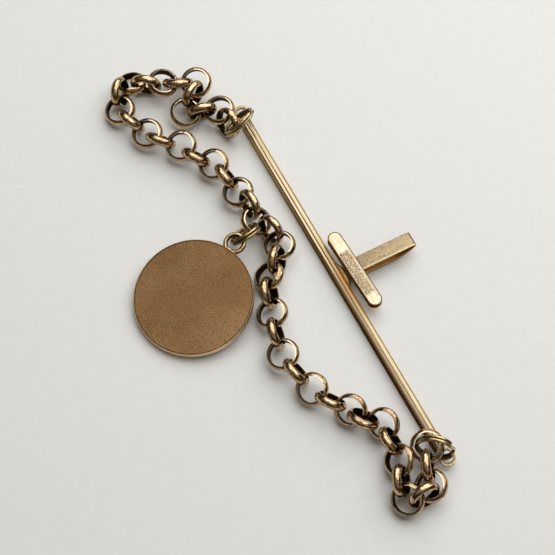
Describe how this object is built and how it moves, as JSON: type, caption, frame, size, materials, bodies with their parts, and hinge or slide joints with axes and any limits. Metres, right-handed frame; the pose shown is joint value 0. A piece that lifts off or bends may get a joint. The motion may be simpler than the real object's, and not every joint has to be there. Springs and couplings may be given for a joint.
{
  "type": "tie bar with a keeper chain and a plain disc",
  "caption": "Slim tie bar with a folded spring clip on its back, a belcher keeper chain from end to end and a plain round disc on a split ring.",
  "frame": {"origin": "middle of the bar's front face, which lies on the surface at z = 0", "axes": "+X along the bar from its upper ring to its lower ring, +Y from the bar to the clip's fold, +Z from the bar's front face to its back"},
  "size_m": [0.088, 0.0443, 0.0062],
  "materials": {
    "bar_gold": "worn polish on pale gold plate",
    "link_gold": "polished crowns, dark tarnish inside",
    "ring_gold": "drawn wire, polished and tarnished",
    "disc_bronze": "matte, fine grain, brown patina"
  },
  "bodies": {
    "root": {"tie_bar": "bar_gold", "jump_ring_upper": "ring_gold", "jump_ring_lower": "ring_gold", "pendant_ring": "ring_gold", "disc": "disc_bronze", "link_01": "link_gold", "link_02": "link_gold", "link_03": "link_gold", "link_04": "link_gold", "link_05": "link_gold", "link_06": "link_gold", "link_07": "link_gold", "link_08": "link_gold", "link_09": "link_gold", "link_10": "link_gold", "link_11": "link_gold", "link_12": "link_gold", "link_13": "link_gold", "link_14": "link_gold", "link_15": "link_gold", "link_16": "link_gold", "link_17": "link_gold", "link_18": "link_gold", "link_19": "link_gold", "link_20": "link_gold", "link_21": "link_gold", "link_22": "link_gold", "link_23": "link_gold", "link_24": "link_gold", "link_25": "link_gold", "link_26": "link_gold", "link_27": "link_gold", "link_28": "link_gold", "link_29": "link_gold", "link_30": "link_gold", "link_31": "link_gold", "link_32": "link_gold", "link_33": "link_gold", "link_34": "link_gold", "link_35": "link_gold", "link_36": "link_gold", "link_37": "link_gold", "link_38": "link_gold", "link_39": "link_gold", "link_40": "link_gold", "link_41": "link_gold", "link_42": "link_gold", "link_43": "link_gold", "link_44": "link_gold"}
  },
  "joints": []
}
